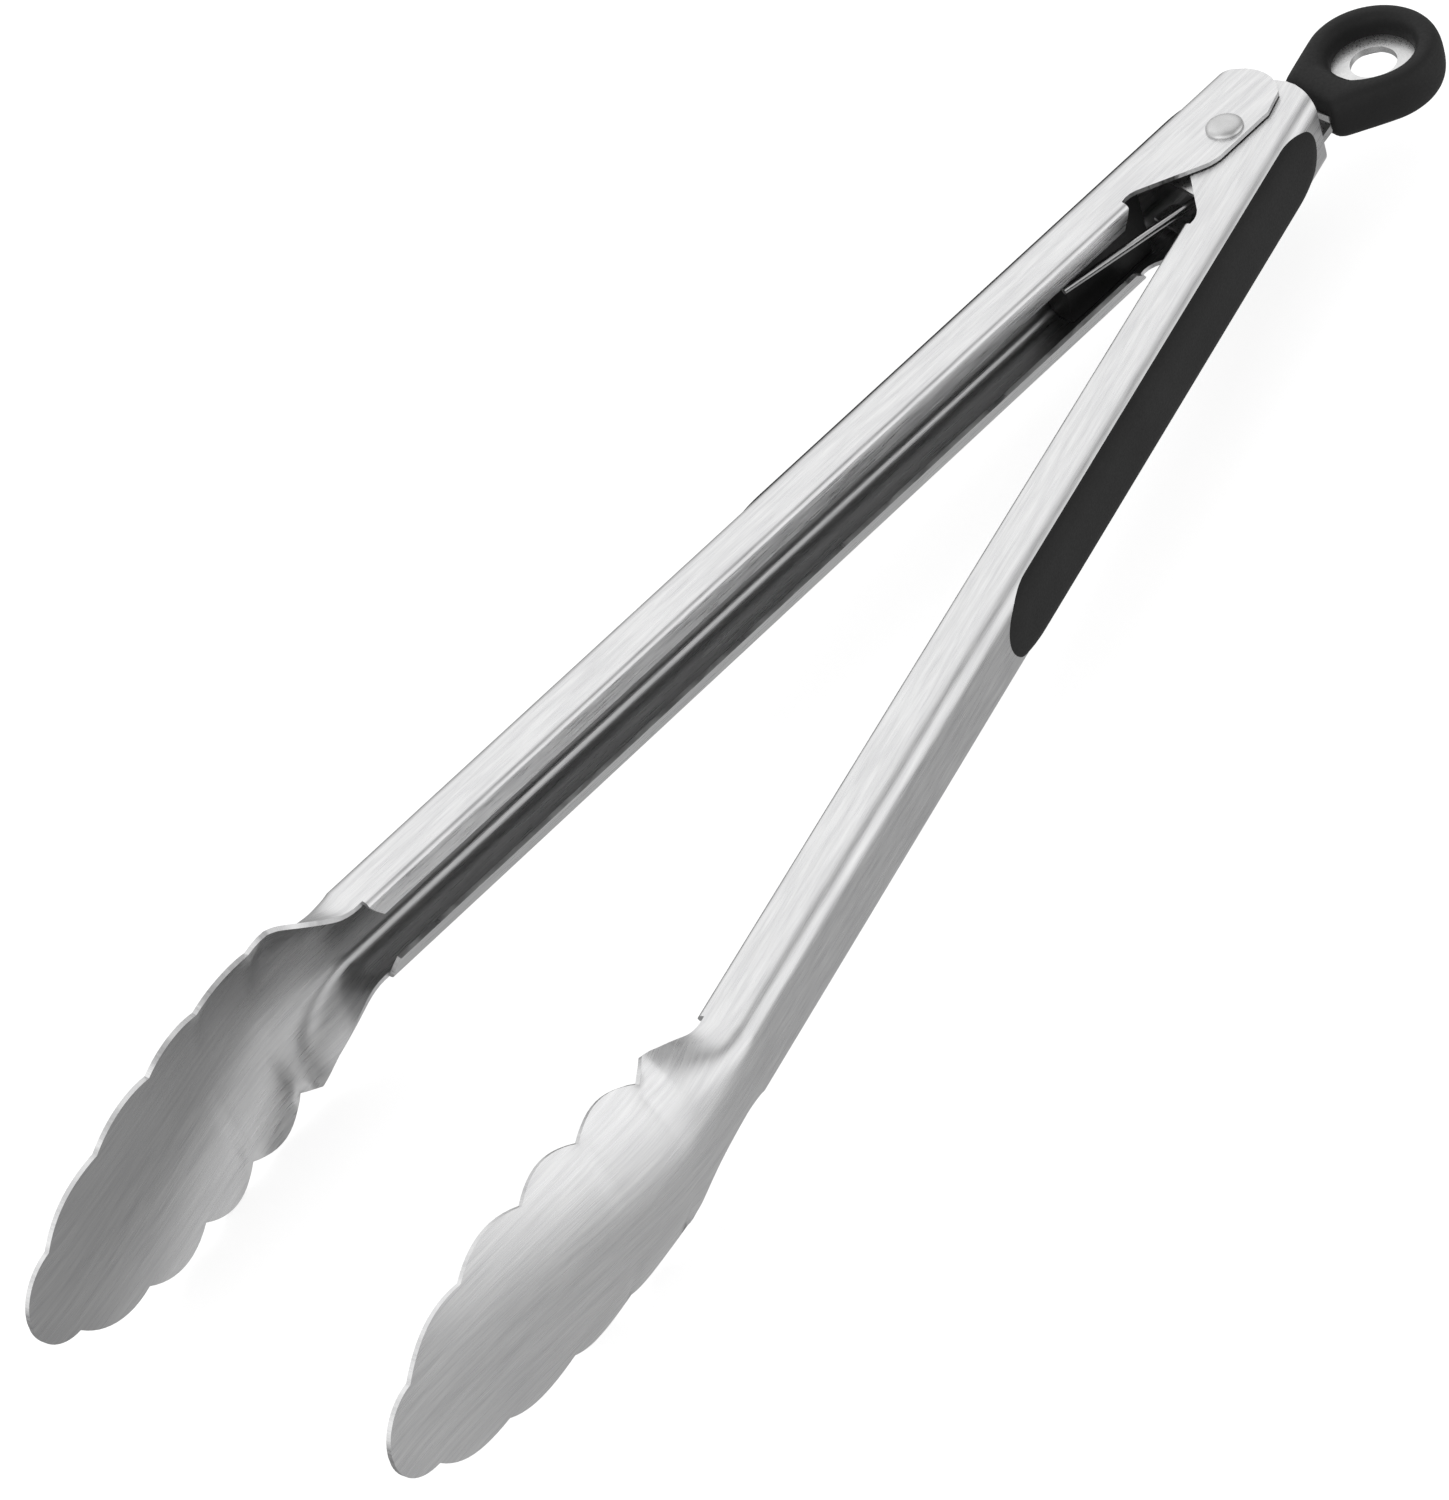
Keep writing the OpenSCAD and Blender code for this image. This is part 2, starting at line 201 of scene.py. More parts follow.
def lobe_point(a, b, f):
    """A point of the scallop that bulges from cusp a to cusp b."""
    run, rise = b[0] - a[0], b[1] - a[1]
    length = math.hypot(run, rise)
    bulge = SCALLOP * 4 * f * (1 - f)
    return mix(a[0], b[0], f) - rise / length * bulge, mix(a[1], b[1], f) + run / length * bulge


def head_stations():
    """(s, half width) along the head's scalloped edge."""
    start = CHANNEL[1]
    found = [
        (mix(start, SHOULDER[0], i / SHOULDER_ROWS), SHOULDER[1])
        for i in range(1, SHOULDER_ROWS + 1)
    ]
    for f in (0.33, 0.67):
        found.append((mix(SHOULDER[0], CUSPS[0][0], f), mix(SHOULDER[1], CUSPS[0][1], f)))
    for a, b in zip(CUSPS, CUSPS[1:]):
        found += [lobe_point(a, b, i / LOBE_ROWS) for i in range(LOBE_ROWS)]
    sag, half = REACH - CUSPS[-1][0], CUSPS[-1][1]
    r = (half**2 + sag**2) / (2 * sag)
    first = math.asin((CUSPS[-1][0] - (REACH - r)) / r)
    for i in range(TIP_ROWS + 1):
        a = mix(first, TIP_TURN, i / TIP_ROWS)
        found.append((REACH - r + r * math.sin(a), r * math.cos(a)))
    return found


def ear_back_edge(u):
    """s of the ear's round back end at depth u."""
    foot_u = EAR_R + EAR_R * math.sin(EAR_FOOT)
    foot_s = EAR_X + EAR_R * math.cos(EAR_FOOT)
    if u < foot_u:
        return mix(EAR_BACK, foot_s, u / foot_u)
    return EAR_X - math.sqrt(max(0.0, EAR_R**2 - (u - EAR_R) ** 2))


def arm_rows(w):
    """Half the outside of the pressing as rows of (s, u, z), from the ear's end to the tip."""
    section = half_section(w)
    wall_at = FLAT_STEPS + CORNER_STEPS
    rows = []
    for i in range(EAR_ROWS):
        f = i / EAR_ROWS
        top = line_through(EAR_TOP, mix(EAR_X, CHANNEL[0], f))
        row = []
        for j, (u, z) in enumerate(section):
            share = clamp01((j - wall_at) / WALL_STEPS)
            u_here = u if j <= wall_at else mix(CORNER_R, top, share)
            u_end = u if j <= wall_at else mix(CORNER_R, 2 * EAR_R, share)
            row.append((mix(ear_back_edge(u_end), CHANNEL[0], f), u_here, z))
        rows.append(row)
    for i in range(CHANNEL_ROWS + 1):
        s = mix(*CHANNEL, i / CHANNEL_ROWS)
        rows.append([(s, u, z) for u, z in section])
    lengths = [0.0]
    for a, b in zip(section, section[1:]):
        lengths.append(lengths[-1] + math.dist(a, b))
    for s, half in head_stations():
        open_here = opening(s)
        row = []
        for (u, z), length in zip(section, lengths):
            pad_z = half * length / lengths[-1]
            row.append((s, mix(u, dish_depth(s, pad_z), open_here), mix(z, pad_z, open_here)))
        rows.append(row)
    ease_neck(rows, EAR_ROWS + CHANNEL_ROWS)
    return rows, EAR_ROWS, EAR_ROWS + CHANNEL_ROWS


def ease_neck(rows, first):
    """Evens out the surface where the channel opens. The outline stays as it is."""
    for _ in range(EASE_ROUNDS):
        before = [list(row) for row in rows]
        for i in range(first + 2, len(rows) - 1):
            s = before[i][0][0]
            pull = EASE_PULL * clamp01((s - CHANNEL[1]) / EASE_IN) * clamp01((EASE_END - s) / EASE_FADE)
            if pull == 0:
                continue
            for j in range(len(rows[i]) - 1):
                here, left = before[i][j], before[i][max(j - 1, 0)]
                right, back, on = before[i][j + 1], before[i - 1][j], before[i + 1][j]
                near_u = (right[1] + (before[i][1][1] if j == 0 else left[1])) / 2
                along_u = mix(back[1], on[1], clamp01((here[0] - back[0]) / (on[0] - back[0])))
                u = mix(here[1], (near_u + along_u) / 2, pull)
                z = here[2] if j == 0 else mix(here[2], (left[2] + right[2]) / 2, pull)
                rows[i][j] = (here[0], u, z)


def lip_cut(z, w):
    """How far along the lip's slanted ends have come in at z, as a share of their run."""
    return max(0.0, w / 2 - LIP_R - z) / LIP_SLANT_Z


def lip_rows(w, count):
    """The lip's rows of (s, u, z), past the wall's top, beside `count` rows of the channel."""
    rows = []
    for i in range(count):
        row = []
        for u, z in lip_section(w):
            start = CHANNEL[0] + LIP_SLANT_BACK * lip_cut(z, w)
            end = CHANNEL[1] - LIP_SLANT_FRONT * lip_cut(z, w)
            row.append((mix(start, end, i / (count - 1)), u, z))
        rows.append(row)
    return rows


def arm_place(side):
    """From arm space in mm to the row frame. side is 1 for the outer arm and -1 for the inner."""
    turn = math.pi - HALF_OPEN

    def place(s, u, z):
        v = u - RIVET_BACK
        x = s * math.cos(turn) - v * math.sin(turn)
        y = s * math.sin(turn) + v * math.cos(turn)
        return PIVOT + Vector((x, side * y, z)) * MM

    return place


def link(mesh, name, body, replaced, materials):
    """A piece that rides on a body and stands in for a node of the CAD."""
    piece = bpy.data.objects.new(name, mesh)
    bpy.context.scene.collection.objects.link(piece)
    for material in materials:
        mesh.materials.append(material)
    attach(piece, body)
    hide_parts(replaced)
    return piece


def smooth(mesh):
    mesh.polygons.foreach_set("use_smooth", [True] * len(mesh.polygons))


def round_edges(piece, width):
    edges = piece.modifiers.new("edges", "BEVEL")
    edges.width = width * MM
    edges.segments = 2
    edges.limit_method = "ANGLE"
    edges.angle_limit = math.radians(50)


def build_arm(name, body, node, w, side, materials):
    """One pressing: a surface for its outside, made into sheet by a modifier."""
    place = arm_place(side)
    half, first, last = arm_rows(w)
    lips = lip_rows(w, last - first + 1)
    mesh_data = bmesh.new()
    grain = mesh_data.loops.layers.uv.new("grain")
    where = {}

    def row_points(i):
        return half[i] + (lips[i - first] if first <= i <= last else [])

    def vertex(i, j):
        """Column j counts from the middle of the back; negative columns are the far side."""
        if (i, j) not in where:
            s, u, z = row_points(i)[abs(j)]
            where[i, j] = mesh_data.verts.new(place(s, u, math.copysign(z, j)))
        return where[i, j]

    across = []
    for i in range(len(half)):
        points = row_points(i)
        lengths = [0.0]
        for a, b in zip(points, points[1:]):
            lengths.append(lengths[-1] + math.dist(a[1:], b[1:]))
        across.append(lengths)

    def add_faces(rows, columns):
        for i in rows:
            for j in columns:
                corners = [(i, j), (i + 1, j), (i + 1, j + 1), (i, j + 1)]
                if side < 0:
                    corners.reverse()
                face = mesh_data.faces.new([vertex(*c) for c in corners])
                for loop, (a, b) in zip(face.loops, corners):
                    s = row_points(a)[abs(b)][0]
                    loop[grain].uv = (s / 100, math.copysign(across[a][abs(b)], b) / 100)

    edge = len(half[0]) - 1
    brim = edge + len(lips[0])
    add_faces(range(len(half) - 1), range(-edge, edge))
    add_faces(range(first, last), range(edge, brim))
    add_faces(range(first, last), range(-brim, -edge))
    mesh = bpy.data.meshes.new(name)
    mesh_data.to_mesh(mesh)
    mesh_data.free()
    smooth(mesh)
    piece = link(mesh, name, body, node, materials)
    solid = piece.modifiers.new("sheet", "SOLIDIFY")
    solid.thickness = SHEET * MM
    solid.offset = -1
    solid.use_even_offset = True
    # The inner faces take the second material, the darker copy of the steel: painted shade.
    solid.material_offset = 1
    round_edges(piece, EDGE_ROUND)
    piece.modifiers["edges"].harden_normals = True


# ---- grips: soft pads that wrap the back and half of each corner ----
GRIP_T = 0.7
GRIP_END = (-8.0, 114.5)
GRIP_ROUND = 10.0
GRIP_EDGE = 3.5
GRIP_ROWS, GRIP_END_ROWS = 40, 14
GRIP_COLUMNS = (0, 0.18, 0.36, 0.52, 0.66, 0.78, 0.86, 0.92, 0.96, 0.985, 1)


def build_grip(name, body, node, w, side, material):
    """One soft pad with round ends that thins out towards its outline."""
    place = arm_place(side)
    flat = w / 2 - CORNER_R
    reach_z = flat + (CORNER_R + GRIP_T) * math.sin(math.pi / 4)
    start, end = GRIP_END
    runs = [GRIP_ROUND * (1 - math.cos(math.pi / 2 * i / GRIP_END_ROWS)) for i in range(GRIP_END_ROWS)]
    stops = [start + run for run in runs]
    stops += [mix(start + GRIP_ROUND, end - GRIP_ROUND, i / GRIP_ROWS) for i in range(GRIP_ROWS + 1)]
    stops += [end - run for run in reversed(runs)]

    def surface(s, path, height):
        """A point over the back at a distance across it, as (s, u, z)."""
        if path <= flat:
            return s, -height, path
        a = (path - flat) / (CORNER_R + GRIP_T)
        r = CORNER_R + height
        return s, CORNER_R - r * math.cos(a), flat + r * math.sin(a)

    def edge_height(away):
        """The pad's thickness at a distance from its outline: it swells over GRIP_EDGE, then stays flat."""
        rest = 1 - clamp01(away / GRIP_EDGE)
        return GRIP_T * (1 - rest * rest)

    mesh_data = bmesh.new()
    tops, bottoms = {}, {}
    columns = range(1 - len(GRIP_COLUMNS), len(GRIP_COLUMNS))
    for i, s in enumerate(stops):
        past = max(start + GRIP_ROUND - s, s - end + GRIP_ROUND, 0) / GRIP_ROUND
        z_edge = reach_z * math.sqrt(max(1 - past * past, 0.0004))
        bend = math.asin(clamp01((z_edge - flat) / (CORNER_R + GRIP_T)))
        path_edge = z_edge if z_edge <= flat else flat + (CORNER_R + GRIP_T) * bend
        for j in columns:
            path = path_edge * GRIP_COLUMNS[abs(j)]
            level = math.hypot(past, path / path_edge * z_edge / reach_z)
            away = (1 - level) * reach_z
            for store, height in ((tops, edge_height(away)), (bottoms, 0.0)):
                if store is bottoms and abs(j) == len(GRIP_COLUMNS) - 1:
                    store[i, j] = tops[i, j]
                    continue
                s_here, u, z = surface(s, path, height)
                store[i, j] = mesh_data.verts.new(place(s_here, u, math.copysign(z, j)))
    for store, flip in ((tops, False), (bottoms, True)):
        for i in range(len(stops) - 1):
            for j in list(columns)[:-1]:
                corners = [store[i, j], store[i + 1, j], store[i + 1, j + 1], store[i, j + 1]]
                if flip != (side < 0):
                    corners.reverse()
                mesh_data.faces.new(corners)
    for i, flip in ((0, False), (len(stops) - 1, True)):
        for j in list(columns)[:-1]:
            corners = []
            for v in (tops[i, j], tops[i, j + 1], bottoms[i, j + 1], bottoms[i, j]):
                if v not in corners:
                    corners.append(v)
            if flip != (side < 0):
                corners.reverse()
            mesh_data.faces.new(corners)
    mesh = bpy.data.meshes.new(name)
    mesh_data.to_mesh(mesh)
    mesh_data.free()
    smooth(mesh)
    mesh.set_sharp_from_angle(angle=math.radians(60))
    link(mesh, name, body, node, [material])


# ---- turned and swept pieces ----
def closed_rings(name, rings, wrap):
    """A mesh from rings of points. With wrap the last ring joins the first, else both ends are capped."""
    count = len(rings[0])
    points = [p for ring in rings for p in ring]
    faces = []
    for k in range(len(rings) if wrap else len(rings) - 1):
        after = (k + 1) % len(rings)
        for j in range(count):
            b = (j + 1) % count
            faces.append((k * count + j, after * count + j, after * count + b, k * count + b))
    if not wrap:
        faces.append(tuple(range(count)))
        faces.append(tuple(reversed(range((len(rings) - 1) * count, len(rings) * count))))
    mesh = bpy.data.meshes.new(name)
    mesh.from_pydata(points, [], faces)
    mesh_data = bmesh.new()
    mesh_data.from_mesh(mesh)
    bmesh.ops.recalc_face_normals(mesh_data, faces=mesh_data.faces)
    mesh_data.to_mesh(mesh)
    mesh_data.free()
    smooth(mesh)
    mesh.set_sharp_from_angle(angle=math.radians(50))
    return mesh


RIVET_R, RIVET_HEAD_R, RIVET_DOME, RIVET_RIM = 2.3, 3.2, 1.3, 0.22
RIVET_STEPS, RIVET_TURNS = 9, 64


def build_rivet(material):
    """Shank and two heads, turned about the hinge's axis."""
    face = OUTER_W
    profile = []
    for i in range(RIVET_STEPS):
        a = math.pi / 2 * (1 - i / RIVET_STEPS)
        z = face / 2 + RIVET_RIM + (RIVET_DOME - RIVET_RIM) * math.sin(a)
        profile.append((RIVET_HEAD_R * math.cos(a), z))
    profile += [(RIVET_HEAD_R, face / 2 + 0.2), (RIVET_HEAD_R - 0.08, face / 2), (RIVET_R, face / 2)]
    profile[0] = (0.02, profile[0][1])
    profile += [(r, -z) for r, z in reversed(profile)]
    rings = []
    for r, z in profile:
        turn = [2 * math.pi * k / RIVET_TURNS for k in range(RIVET_TURNS)]
        rings.append([PIVOT + Vector((r * math.cos(a), r * math.sin(a), z)) * MM for a in turn])
    mesh = closed_rings("rivet", rings, False)
    link(mesh, "rivet", "outer", "hinge_rivet", [material])


WIRE_R, COIL_R, COIL_HALF, LEG = 0.7, 5.0, 3.0, 38.0
LEG_ANGLE = math.radians(157.2)
LEG_END_Z = 0.6
LEG_STEPS, COIL_STEPS, WIRE_SIDES = 12, 150, 14


def build_spring(material):
    """The coil and its two legs, with the coil wound from one leg to the other."""
    start = math.radians(270) - LEG_ANGLE
    turn = math.radians(1620) - 2 * LEG_ANGLE

    def on_coil(angle, z):
        return Vector((COIL_R * math.cos(angle), COIL_R * math.sin(angle), z))

    def on_leg(angle, way, f):
        """A share f along the leg that leaves the coil at an angle; way is 1 or -1."""
        off = angle + way * math.pi / 2
        along = Vector((math.cos(off), math.sin(off), 0))
        return on_coil(angle, -way * mix(COIL_HALF, LEG_END_Z, f)) + along * LEG * f

    path = [on_leg(start, 1, i / LEG_STEPS) for i in range(LEG_STEPS, 0, -1)]
    for i in range(COIL_STEPS + 1):
        f = i / COIL_STEPS
        path.append(on_coil(start - turn * f, mix(-COIL_HALF, COIL_HALF, f)))
    path += [on_leg(start - turn, -1, i / LEG_STEPS) for i in range(1, LEG_STEPS + 1)]
    rings = []
    for k, p in enumerate(path):
        ahead = (path[min(k + 1, len(path) - 1)] - path[max(k - 1, 0)]).normalized()
        across = ahead.cross(Vector((0, 0, 1))).normalized()
        up = across.cross(ahead)
        ring = []
        for j in range(WIRE_SIDES):
            a = 2 * math.pi * j / WIRE_SIDES
            ring.append(PIVOT + (p + (across * math.cos(a) + up * math.sin(a)) * WIRE_R) * MM)
        rings.append(ring)
    mesh = closed_rings("spring", rings, False)
    piece = bpy.data.objects.new("spring", mesh)
    bpy.context.scene.collection.objects.link(piece)
    mesh.materials.append(material)
    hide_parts("torsion_spring")
    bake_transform(piece)


EYE_X, RING_R, RING_OPEN_R, RING_HALF_H, RING_ROUND = 31.5, 11.8, 7.1, 4.3, 0.75
NECK_END, NECK_HALF = -14.7, 6.4
RING_TURNS, RING_SIDES = 144, 40


def build_ring(material):
    """Soft teardrop ring: a rounded section carried round the eye, drawn out to the neck."""
    across = Vector((-TAB_AXIS.y, TAB_AXIS.x, 0))
    centre = PIVOT + TAB_AXIS * EYE_X * MM
    neck_angle = math.atan2(NECK_HALF, -NECK_END)
    tangent = math.acos(RING_R / math.hypot(NECK_HALF, NECK_END))
    side_at = math.pi - neck_angle - tangent

    def rim(angle):
        """Distance from the eye to the outline at an angle from the tab's axis."""
        a = abs(math.remainder(angle, 2 * math.pi))
        if a < side_at:
            return RING_R
        side = RING_R / math.cos(min(a - side_at, 1.3))
        flat = -NECK_END / max(math.cos(math.pi - a), 0.2)
        return (side**-30 + flat**-30) ** (-1 / 30)

    rings = []
    for k in range(RING_TURNS):
        angle = 2 * math.pi * k / RING_TURNS
        outer = rim(angle)
        ray = TAB_AXIS * math.cos(angle) + across * math.sin(angle)
        half = (outer - RING_OPEN_R) / 2
        middle = (outer + RING_OPEN_R) / 2
        ring = []
        for i in range(RING_SIDES):
            a = 2 * math.pi * i / RING_SIDES
            x = middle + half * math.copysign(abs(math.cos(a)) ** RING_ROUND, math.cos(a))
            z = RING_HALF_H * math.copysign(abs(math.sin(a)) ** RING_ROUND, math.sin(a))
            ring.append(centre + (ray * x + Vector((0, 0, z))) * MM)
        rings.append(ring)
    mesh = closed_rings("ring", rings, True)
    link(mesh, "ring", "tab", "pull_ring", [material])


# ---- materials ----
RANGE_SOCKETS = ("From Min", "From Max", "To Min", "To Max")


class Shader:
    """A material's node tree, with short calls for the nodes used here."""

    def __init__(self, name, base, roughness, metallic=0.0, **fixed):
        self.material = bpy.data.materials.new(name)
        self.material.use_nodes = True
        self.tree = self.material.node_tree
        self.shader = self.tree.nodes["Principled BSDF"]
        self.shader.inputs["Base Color"].default_value = (*base, 1)
        self.shader.inputs["Roughness"].default_value = roughness
        self.shader.inputs["Metallic"].default_value = metallic
        for socket, value in fixed.items():
            self.shader.inputs[socket.replace("_", " ")].default_value = value

    def node(self, kind, **settings):
        made = self.tree.nodes.new(kind)
        for key, value in settings.items():
            setattr(made, key, value)
        return made

    def join(self, output, target):
        self.tree.links.new(output, target)

    def noise(self, vector, scale, detail=3.0, roughness=0.6, stretch=(1, 1, 1)):
        mapping = self.node("ShaderNodeMapping")
        mapping.inputs["Scale"].default_value = stretch
        self.join(vector, mapping.inputs["Vector"])
        noise = self.node("ShaderNodeTexNoise")
        noise.inputs["Scale"].default_value = scale
        noise.inputs["Detail"].default_value = detail
        noise.inputs["Roughness"].default_value = roughness
        self.join(mapping.outputs["Vector"], noise.inputs["Vector"])
        return noise.outputs["Fac"]

    def spread(self, value, low, high, to_low, to_high):
        ranged = self.node("ShaderNodeMapRange")
        for socket, number in zip(RANGE_SOCKETS, (low, high, to_low, to_high)):
            ranged.inputs[socket].default_value = number
        self.join(value, ranged.inputs["Value"])
        return ranged.outputs["Result"]

    def blend(self, factor, dark, light):
        mixed = self.node("ShaderNodeMix", data_type="RGBA")
        mixed.inputs["A"].default_value = (*dark, 1)
        mixed.inputs["B"].default_value = (*light, 1)
        self.join(factor, mixed.inputs["Factor"])
        return mixed.outputs["Result"]

    def bump(self, height, strength, distance):
        bump = self.node("ShaderNodeBump")
        bump.inputs["Strength"].default_value = strength
        bump.inputs["Distance"].default_value = distance
        self.join(height, bump.inputs["Height"])
        self.join(bump.outputs["Normal"], self.shader.inputs["Normal"])


def brushed_steel(name, tone):
    """Long-grain brushed sheet; the UV map runs along and across the grain in tenths of a metre."""
    steel = Shader(name, (tone, tone, tone), 0.3, 1.0, Anisotropic=0.5)
    grain = steel.node("ShaderNodeUVMap", uv_map="grain").outputs["UV"]
    fine = steel.noise(grain, 1, 2.5, 0.55, (16, 420, 1))
    broad = steel.noise(grain, 1, 2, 0.5, (7, 110, 1))
    cloud = steel.noise(grain, 1, 2, 0.5, (3, 9, 1))
    both = steel.node("ShaderNodeMath", operation="ADD")
    steel.join(fine, both.inputs[0])
    steel.join(broad, both.inputs[1])
    colour = steel.blend(
        steel.spread(both.outputs[0], 0.7, 1.3, 0, 1),
        (tone * 0.86, tone * 0.86, tone * 0.87),
        (tone * 1.1, tone * 1.1, tone * 1.1),
    )
    steel.join(colour, steel.shader.inputs["Base Color"])
    rough = steel.node("ShaderNodeMath", operation="ADD")
    steel.join(steel.spread(fine, 0.3, 0.7, 0.24, 0.4), rough.inputs[0])
    steel.join(steel.spread(cloud, 0.3, 0.7, -0.03, 0.03), rough.inputs[1])
    steel.join(rough.outputs[0], steel.shader.inputs["Roughness"])
    steel.bump(fine, 0.12, 0.00012)
    tangent = steel.node("ShaderNodeTangent", direction_type="UV_MAP", uv_map="grain")
    steel.join(tangent.outputs["Tangent"], steel.shader.inputs["Tangent"])
    return steel.material


def satin_steel(name, tone, rough):
    """Tumbled steel with a fine even texture."""
    steel = Shader(name, (tone, tone, tone), rough, 1.0)
    place = steel.node("ShaderNodeTexCoord").outputs["Object"]
    fine = steel.noise(place, 3000, 3)
    cloud = steel.noise(place, 220, 2)
    steel.join(
        steel.blend(steel.spread(cloud, 0.3, 0.7, 0, 1), (tone * 0.88,) * 3, (tone * 1.06,) * 3),
        steel.shader.inputs["Base Color"],
    )
    steel.join(steel.spread(fine, 0.3, 0.7, rough - 0.06, rough + 0.08), steel.shader.inputs["Roughness"])
    steel.bump(fine, 0.08, 0.0001)
    return steel.material


def soft_black(name, tone, rough, grain_scale):
    """Matte moulded rubber or nylon with a fine spark-eroded texture."""
    rubber = Shader(name, (tone, tone, tone), rough, 0.0)
    rubber.shader.inputs["Specular IOR Level"].default_value = 0.28
    place = rubber.node("ShaderNodeTexCoord").outputs["Object"]
    fine = rubber.noise(place, grain_scale, 2)
    cloud = rubber.noise(place, 90, 3)
    rubber.join(
        rubber.blend(rubber.spread(cloud, 0.3, 0.7, 0, 1), (tone * 0.8,) * 3, (tone * 1.25,) * 3),
        rubber.shader.inputs["Base Color"],
    )
    rubber.join(
        rubber.spread(fine, 0.3, 0.7, rough - 0.05, rough + 0.07),
        rubber.shader.inputs["Roughness"],
    )
    rubber.bump(fine, 0.15, 0.0002)
    return rubber.material


# ---- studio ----
# Camera: angles in degrees, lengths in metres
CAMERA_PLACE = (-0.67807, -0.67460, 0.84590)
CAMERA_AZIMUTH = -43.98
CAMERA_ELEVATION = 41.29
CAMERA_ROLL = -17.58
CAMERA_LENS = 194.6


def make_camera():
    az = math.radians(CAMERA_AZIMUTH)
    el = math.radians(CAMERA_ELEVATION)
    roll = math.radians(CAMERA_ROLL)
    back = Vector((math.sin(az) * math.cos(el), -math.cos(az) * math.cos(el), math.sin(el)))
    level_right = Vector((0, 0, 1)).cross(back).normalized()
    level_up = back.cross(level_right)
    right = math.cos(roll) * level_right + math.sin(roll) * level_up
    up = -math.sin(roll) * level_right + math.cos(roll) * level_up
    data = bpy.data.cameras.new("camera")
    data.sensor_width = 36
    data.sensor_fit = "AUTO"
    data.lens = CAMERA_LENS
    data.clip_end = 20
    camera = bpy.data.objects.new("camera", data)
    turn = Matrix((right, up, back)).transposed().to_4x4()
    camera.matrix_world = Matrix.Translation(CAMERA_PLACE) @ turn
    bpy.context.scene.collection.objects.link(camera)
    bpy.context.scene.camera = camera


# soft lights round the part, each as
# (direction, brightness, cosine where it starts, cosine where it is full)
SOFT_LIGHTS = [
    ((0.52, 0.54, 0.66), 0.62, 0.62, 0.97),
    ((0.46, -0.88, 0.12), 0.75, 0.66, 0.97),
    ((0.35, -0.55, -0.76), 0.22, 0.86, 0.99),
    ((0.5, 0.2, -0.84), 0.2, 0.85, 0.99),
    ((-0.6, 0.6, 0.5), 0.5, 0.5, 0.95),
    ((-0.9, -0.3, 0.3), 0.6, 0.5, 0.95),
]
SKY = 0.5
GROUND = 0.3


def make_world():
    world = bpy.data.worlds.new("studio")
    world.use_nodes = True
    tree = world.node_tree
    background = tree.nodes["Background"]
    background.inputs["Color"].default_value = (1, 1, 1, 1)
    direction = tree.nodes.new("ShaderNodeTexCoord").outputs["Generated"]
    split = tree.nodes.new("ShaderNodeSeparateXYZ")
    tree.links.new(direction, split.inputs[0])
    level = tree.nodes.new("ShaderNodeMapRange")
    level.interpolation_type = "SMOOTHSTEP"
    for socket, number in zip(RANGE_SOCKETS, (-0.5, 0.1, GROUND, SKY)):
        level.inputs[socket].default_value = number
    tree.links.new(split.outputs["Z"], level.inputs["Value"])
    total = level.outputs["Result"]
    for towards, brightness, start, full in SOFT_LIGHTS:
        dot = tree.nodes.new("ShaderNodeVectorMath")
        dot.operation = "DOT_PRODUCT"
        tree.links.new(direction, dot.inputs[0])
        dot.inputs[1].default_value = Vector(towards).normalized()
        lobe = tree.nodes.new("ShaderNodeMapRange")
        lobe.interpolation_type = "SMOOTHSTEP"
        for socket, number in zip(RANGE_SOCKETS, (start, full, 0, brightness)):
            lobe.inputs[socket].default_value = number
        tree.links.new(dot.outputs["Value"], lobe.inputs["Value"])
        added = tree.nodes.new("ShaderNodeMath")
        added.operation = "ADD"
        tree.links.new(total, added.inputs[0])
        tree.links.new(lobe.outputs["Result"], added.inputs[1])
        total = added.outputs[0]
    tree.links.new(total, background.inputs["Strength"])
    bpy.context.scene.world = world


FLOOR_HALF = 6.0


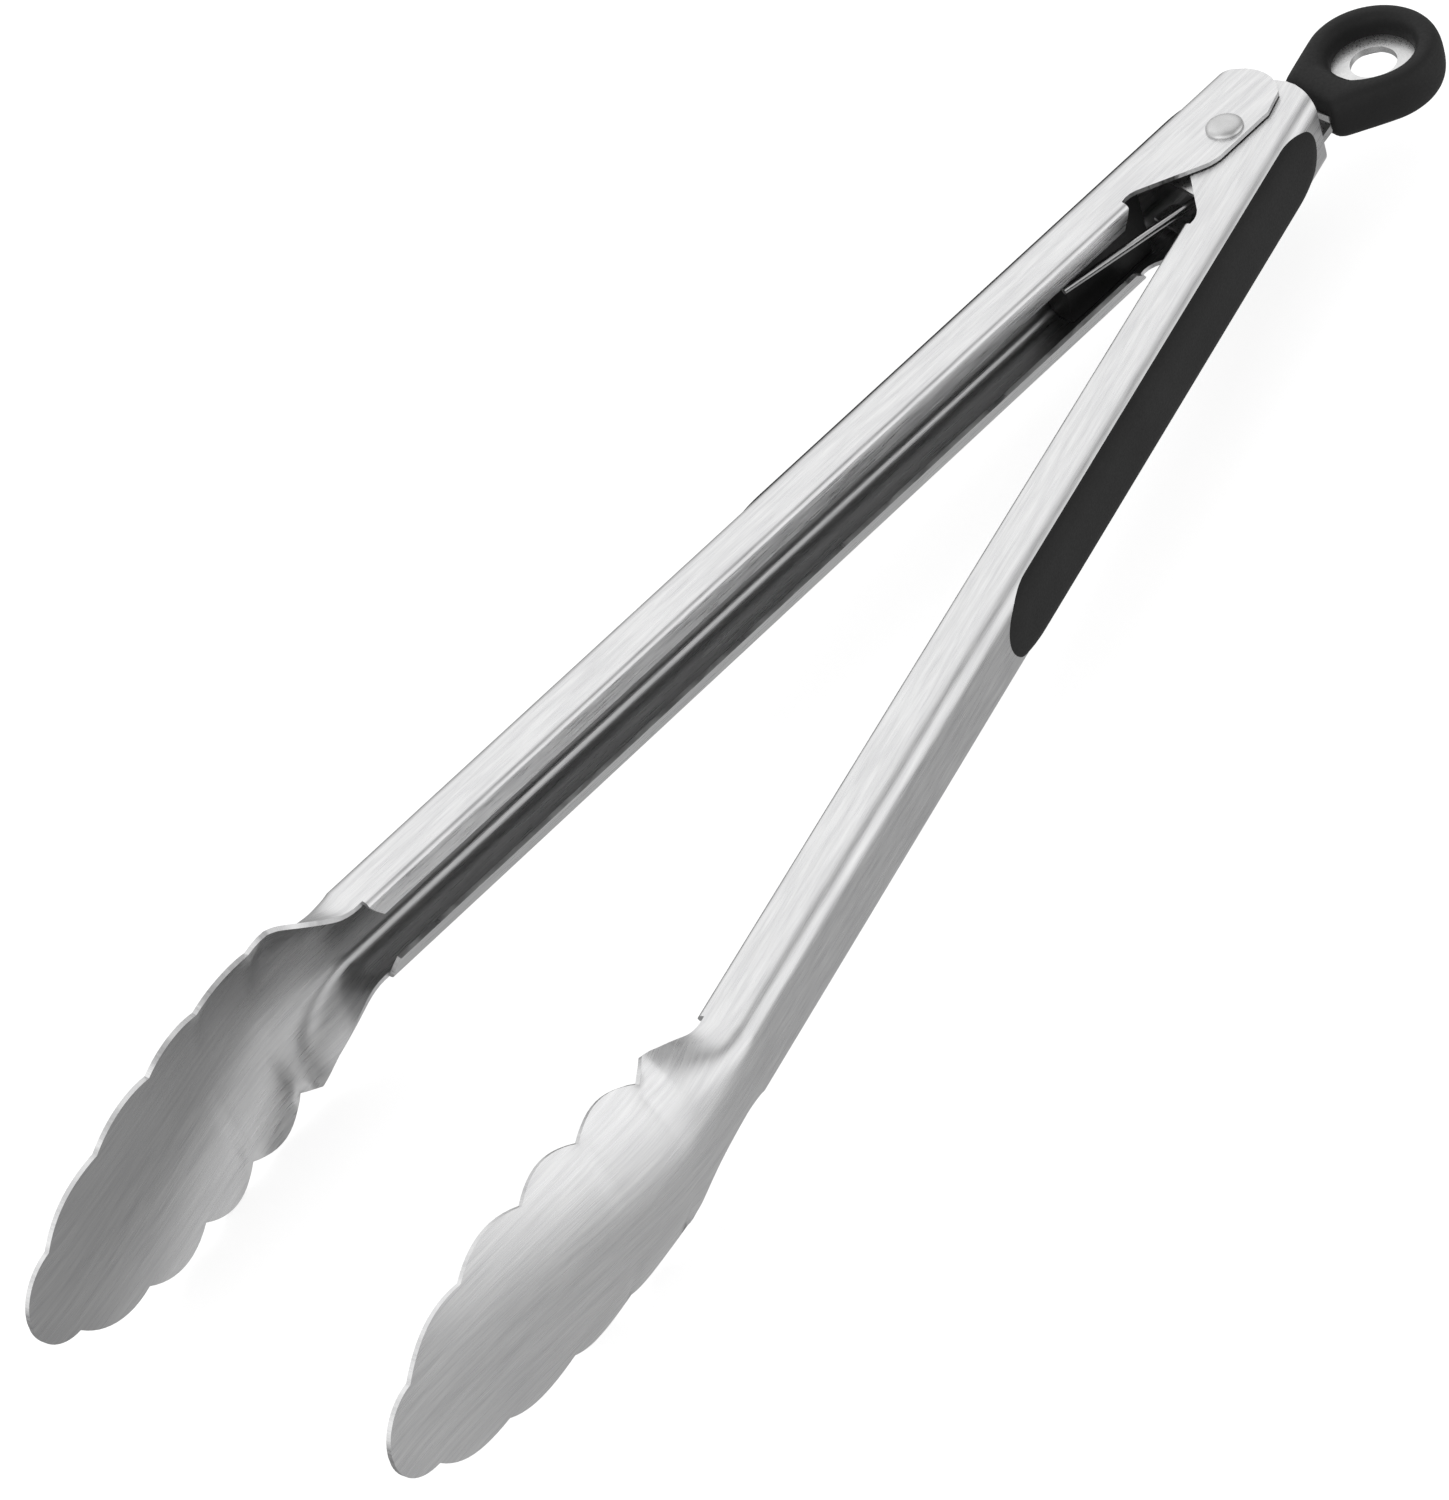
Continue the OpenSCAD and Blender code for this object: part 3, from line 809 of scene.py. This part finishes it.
def make_floor():
    """A pale floor, lit from within so that it stays white, and see-through from below."""
    mesh = bpy.data.meshes.new("floor")
    r = FLOOR_HALF
    mesh.from_pydata([(-r, -r, 0), (r, -r, 0), (r, r, 0), (-r, r, 0)], [], [(0, 1, 2, 3)])
    floor = bpy.data.objects.new("floor", mesh)
    bpy.context.scene.collection.objects.link(floor)
    material = bpy.data.materials.new("floor")
    material.use_nodes = True
    tree = material.node_tree
    tree.nodes.clear()
    glow = tree.nodes.new("ShaderNodeEmission")
    glow.inputs["Strength"].default_value = 0.7
    matt = tree.nodes.new("ShaderNodeBsdfDiffuse")
    matt.inputs["Color"].default_value = (0.5, 0.5, 0.5, 1)
    both = tree.nodes.new("ShaderNodeAddShader")
    clear = tree.nodes.new("ShaderNodeBsdfTransparent")
    side = tree.nodes.new("ShaderNodeNewGeometry")
    choice = tree.nodes.new("ShaderNodeMixShader")
    out = tree.nodes.new("ShaderNodeOutputMaterial")
    tree.links.new(glow.outputs[0], both.inputs[0])
    tree.links.new(matt.outputs[0], both.inputs[1])
    tree.links.new(side.outputs["Backfacing"], choice.inputs[0])
    tree.links.new(both.outputs[0], choice.inputs[1])
    tree.links.new(clear.outputs[0], choice.inputs[2])
    tree.links.new(choice.outputs[0], out.inputs["Surface"])
    mesh.materials.append(material)
    floor.visible_glossy = False


NODE_EDGE_ROUND = 0.1


def paint(name, material):
    """Gives a carried-over node its material and rounds its edges."""
    mesh = nodes[name].data
    mesh.materials.clear()
    mesh.materials.append(material)
    smooth(mesh)
    mesh.set_sharp_from_angle(angle=math.radians(35))
    round_edges(nodes[name], NODE_EDGE_ROUND)


steel_outside = brushed_steel("brushed_steel_outside", 0.72)
# A darker copy of the same brushed steel for the sheet's inner faces: painted shade, not a different
# finish.
steel_inside_painted_shade = brushed_steel("brushed_steel_inside_painted_shade", 0.46)
tab_steel = satin_steel("tab_steel", 0.75, 0.3)
rivet_steel = satin_steel("rivet_steel", 0.62, 0.3)
wire_steel = satin_steel("wire_steel", 0.6, 0.2)
soft_grip = soft_black("soft_grip", 0.008, 0.62, 2500)
soft_ring = soft_black("soft_ring", 0.008, 0.6, 1800)
black_nylon = soft_black("black_nylon", 0.012, 0.5, 2500)

build_arm("outer_arm_pressing", "outer", "outer_arm", OUTER_W, 1, [steel_outside, steel_inside_painted_shade])
build_arm("inner_arm_pressing", "inner", "inner_arm", INNER_W, -1, [steel_outside, steel_inside_painted_shade])
build_grip("outer_grip_pad", "outer", "outer_grip", OUTER_W, 1, soft_grip)
build_grip("inner_grip_pad", "inner", "inner_grip", INNER_W, -1, soft_grip)
build_rivet(rivet_steel)
build_spring(wire_steel)
build_ring(soft_ring)
paint("pull_tab", tab_steel)
for part in ("pivot_bush", "outer_spring_seat", "inner_spring_seat"):
    paint(part, black_nylon)

make_camera()
make_world()
make_floor()
bpy.context.scene.view_settings.view_transform = "Standard"
